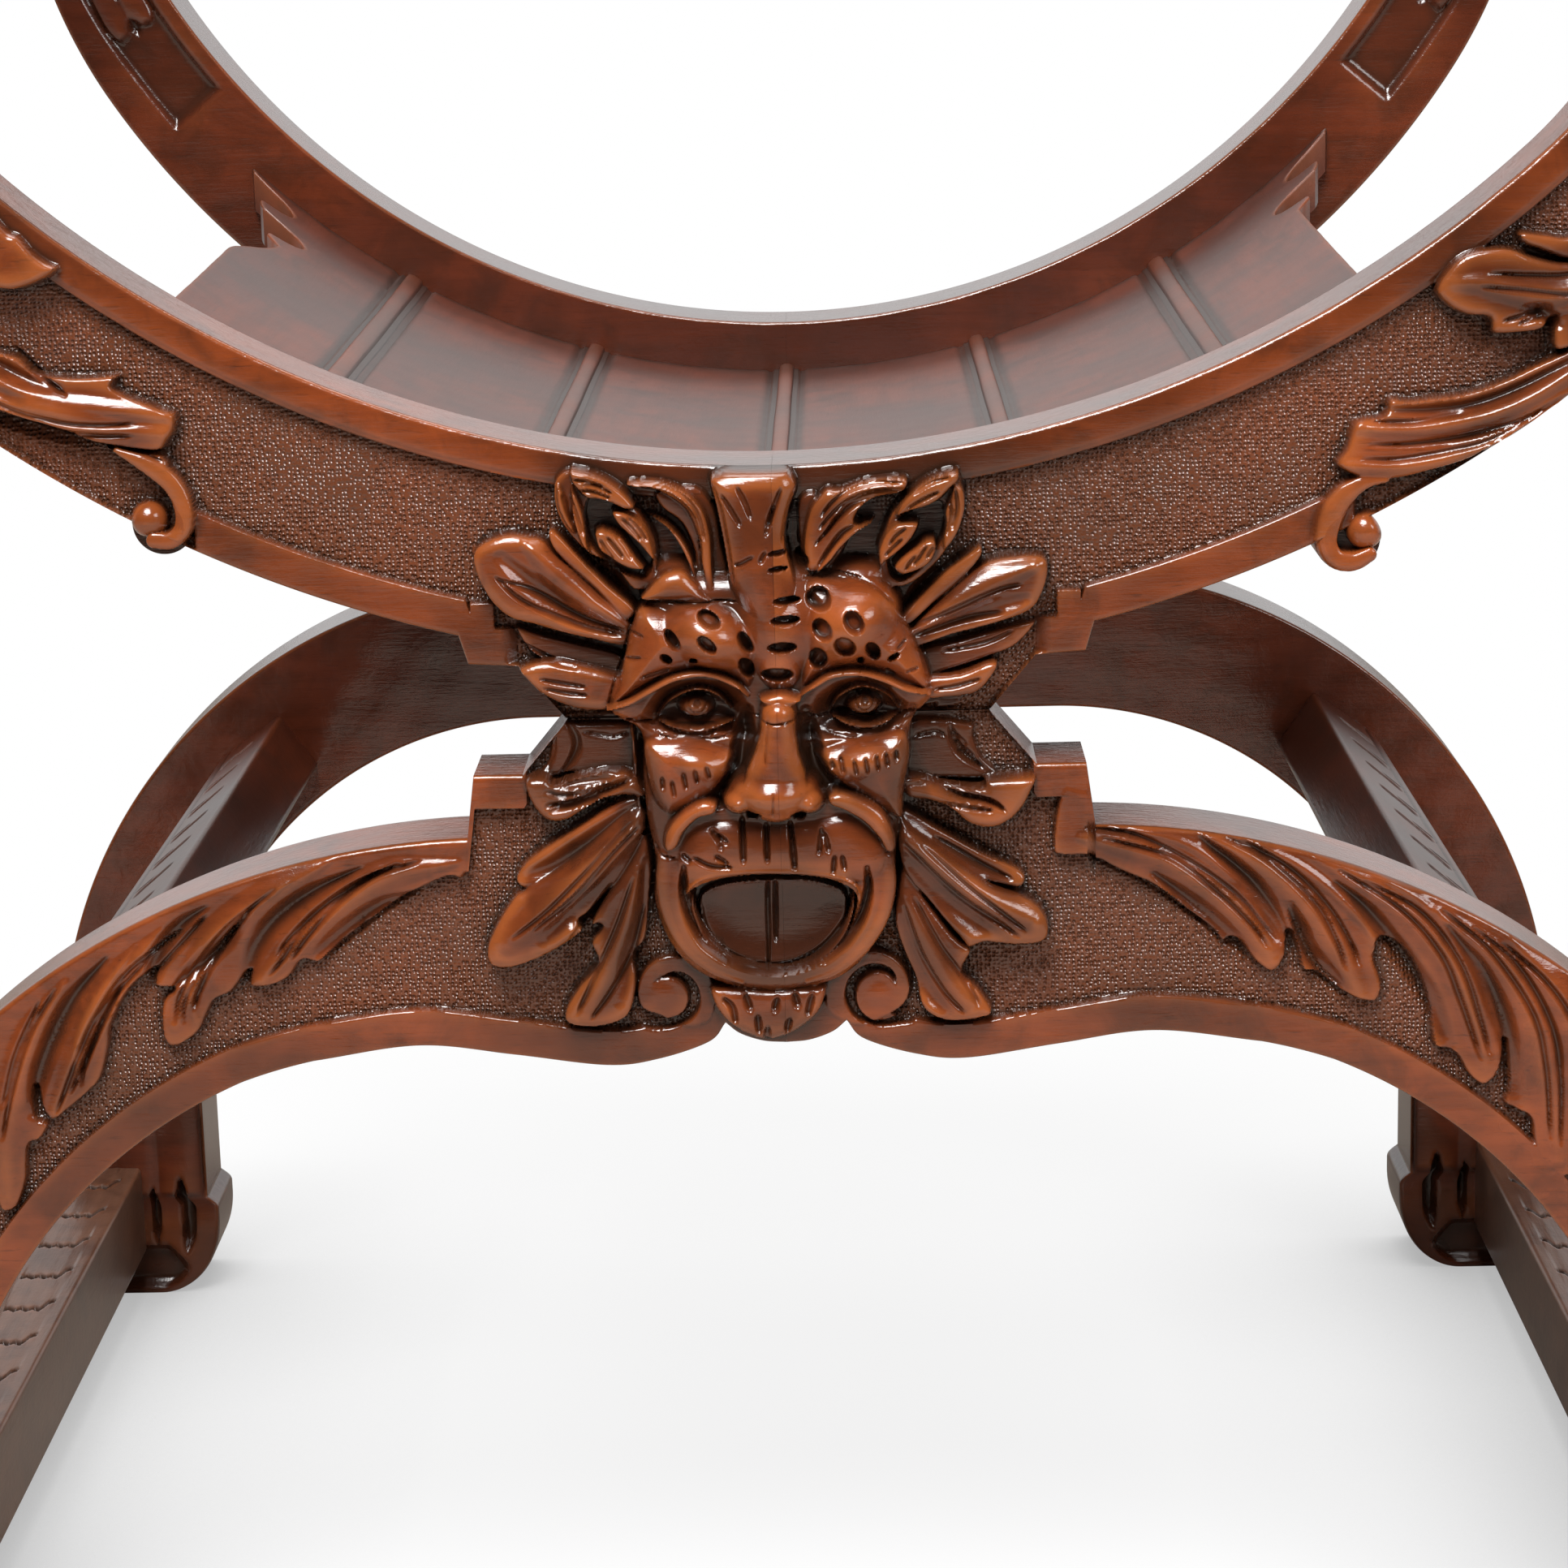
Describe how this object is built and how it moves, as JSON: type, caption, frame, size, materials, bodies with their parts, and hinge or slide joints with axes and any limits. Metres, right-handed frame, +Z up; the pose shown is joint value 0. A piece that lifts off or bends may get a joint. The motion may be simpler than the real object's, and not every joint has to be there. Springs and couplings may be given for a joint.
{
  "type": "dante armchair",
  "caption": "X-frame armchair with curved arms, a carved front with a leafy grotesque mask at the crossing, and a curved board seat.",
  "frame": {"origin": "on the floor, under the middle of the chair", "axes": "+X to the right as seen from the front, +Y to the back, +Z up"},
  "size_m": [0.7548, 0.514, 0.902],
  "materials": {
    "carved_walnut": "waxed and polished red-brown walnut, dark in the carving",
    "plain_walnut": "polished dark red-brown walnut",
    "seat_walnut": "worn polished walnut boards",
    "rail_walnut": "polished walnut, carved on top",
    "arm_walnut": "hand-worn polished walnut",
    "dowel_wood": "raw beech",
    "screw_brass": "aged brass"
  },
  "bodies": {
    "root": {"front_upper_left": "carved_walnut", "back_upper_left": "plain_walnut", "front_upper_right": "carved_walnut", "back_upper_right": "plain_walnut", "front_lower_left": "carved_walnut", "back_lower_left": "plain_walnut", "front_lower_right": "carved_walnut", "back_lower_right": "plain_walnut", "front_dowels": "dowel_wood", "back_dowels": "dowel_wood", "seat_bearer_front": "plain_walnut", "seat_bearer_back": "plain_walnut", "front_bearer_screws": "screw_brass", "back_bearer_screws": "screw_brass", "side_rail_left": "rail_walnut", "side_rail_right": "rail_walnut", "runner_left": "rail_walnut", "runner_right": "rail_walnut", "armrest_left": "arm_walnut", "armrest_right": "arm_walnut", "back_panel": "arm_walnut", "crest_rail": "arm_walnut", "seat_board_1": "seat_walnut", "seat_board_2": "seat_walnut", "seat_board_3": "seat_walnut", "seat_board_4": "seat_walnut", "seat_board_5": "seat_walnut", "seat_board_6": "seat_walnut", "seat_strip_1": "seat_walnut", "seat_strip_2": "seat_walnut", "seat_strip_3": "seat_walnut", "seat_strip_4": "seat_walnut", "seat_strip_5": "seat_walnut"}
  },
  "joints": []
}
